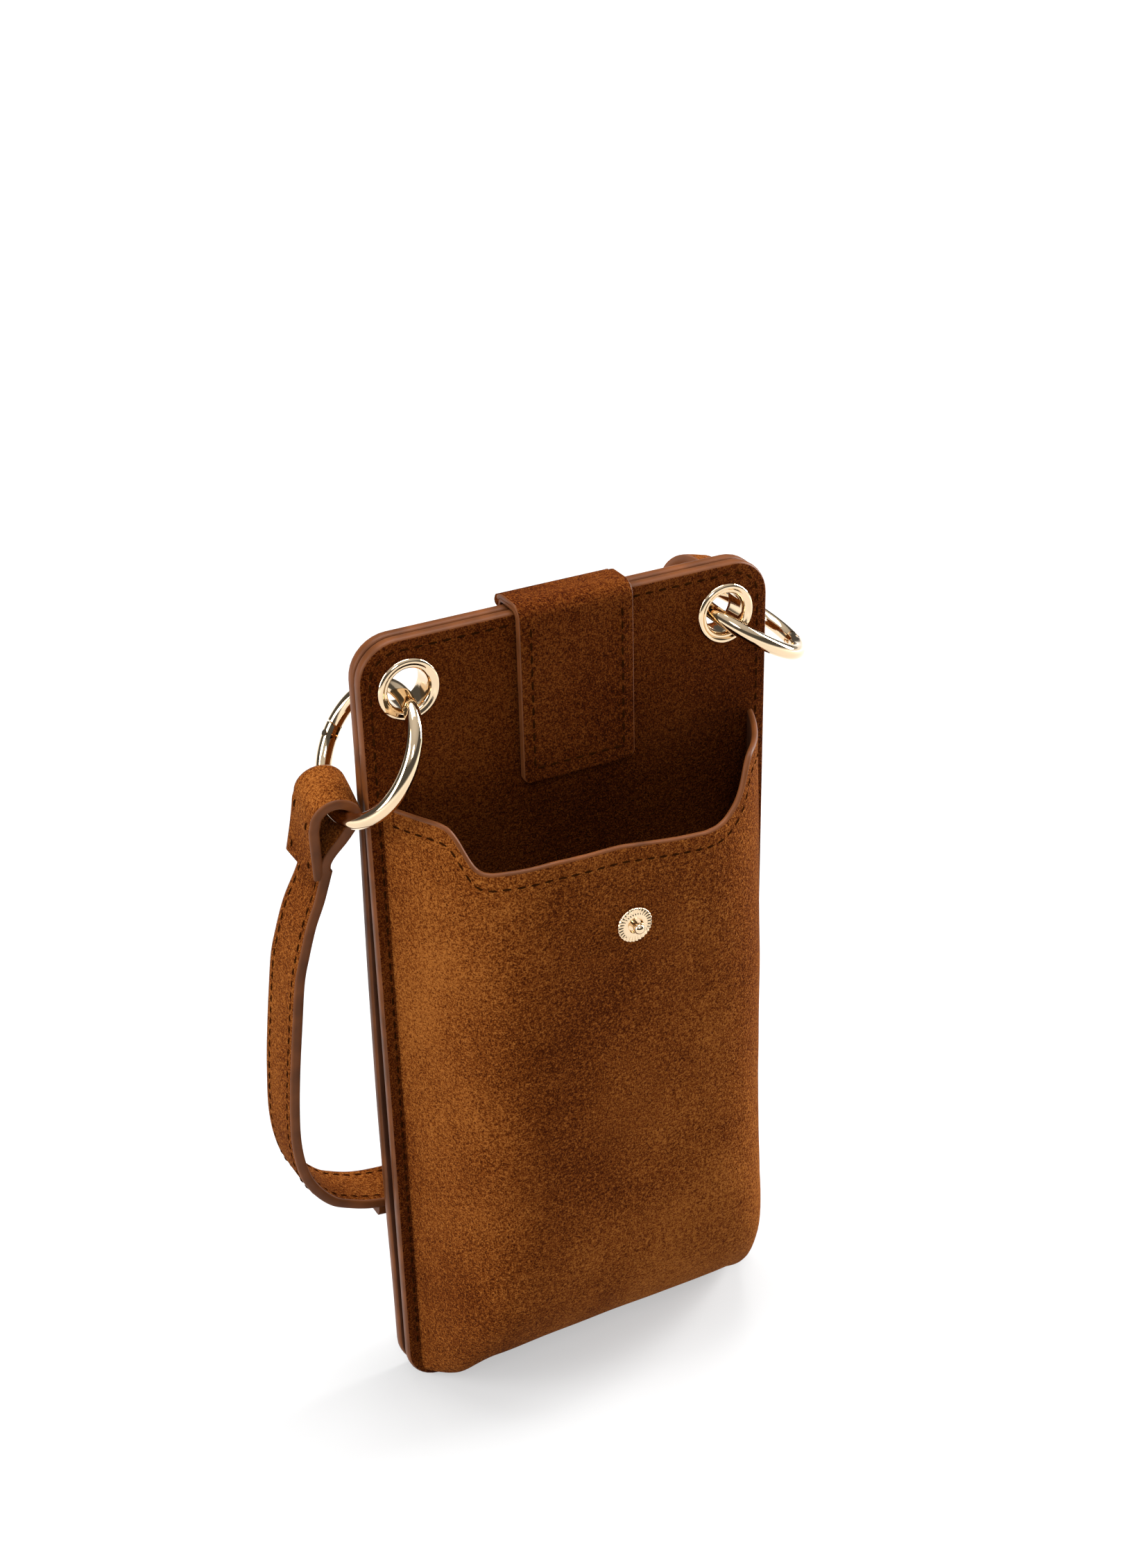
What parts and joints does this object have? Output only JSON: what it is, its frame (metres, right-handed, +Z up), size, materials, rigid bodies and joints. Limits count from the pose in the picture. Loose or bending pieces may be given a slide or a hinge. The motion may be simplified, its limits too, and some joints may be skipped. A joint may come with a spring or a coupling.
{
  "type": "wristlet wallet",
  "caption": "Suede wristlet wallet with a deep phone pocket, a fold-over snap tab, metal eyelets and a wrist strap clipped on two gate rings.",
  "frame": {"origin": "middle of the front leaf's bottom edge, on the surface the wallet stands on", "axes": "+Z up along the wallet's height, -Y out of the front (the pocket's side), +X to the right seen from the front"},
  "size_m": [0.1265, 0.0556, 0.1886],
  "materials": {
    "suede": "napped suede, matte",
    "lining": "smooth edge paint and lining, satin",
    "strap": "napped suede, matte",
    "gold": "polished, light gold plate"
  },
  "bodies": {
    "wallet": {"front_leaf_skin": "suede", "front_leaf_core": "lining", "rear_leaf_core": "lining", "rear_leaf_skin": "suede", "spine": "lining", "card_slot_1": "lining", "card_slot_2": "lining", "card_slot_3": "lining", "card_slot_4": "lining", "card_slot_5": "lining", "card_slot_6": "lining", "pocket": "suede", "stud_disc": "gold", "stud_post": "gold", "stud_back": "gold", "tab_anchor": "suede", "eyelet_left": "gold", "eyelet_right": "gold", "eyelet_washer_left": "gold", "eyelet_washer_right": "gold"},
    "tab": {"tab_outer": "suede", "tab_inner": "lining", "tab_socket": "gold"},
    "handle": {"ring_left": "gold", "ring_right": "gold", "rivet_left": "gold", "rivet_right": "gold", "strap_loop_left": "strap", "strap_loop_right": "strap", "strap": "strap", "strap_lap": "strap"},
    "gate_left": {"gate_left": "gold"},
    "gate_right": {"gate_right": "gold"}
  },
  "joints": [
    {"name": "tab_hinge", "type": "hinge", "parent": "wallet", "child": "tab", "pos_m": [0, 0.006, 0.1865], "axis": [-1, 0, 0], "range_deg": [0, 160]},
    {"name": "handle_swing", "type": "hinge", "parent": "wallet", "child": "handle", "pos_m": [0, 0.004, 0.155], "axis": [1, 0, 0], "range_deg": [0, 6]},
    {"name": "gate_left_hinge", "type": "hinge", "parent": "handle", "child": "gate_left", "pos_m": [-0.04657, 0.01591, 0.16085], "axis": [0.8413, 0.1137, -0.5284], "range_deg": [0, 12], "stiffness_Nm_per_rad": 0.02, "springref_deg": -17.19},
    {"name": "gate_right_hinge", "type": "hinge", "parent": "handle", "child": "gate_right", "pos_m": [0.05704, 0.00366, 0.16184], "axis": [0.5165, -0.125, 0.8471], "range_deg": [0, 12], "stiffness_Nm_per_rad": 0.02, "springref_deg": -17.19}
  ]
}
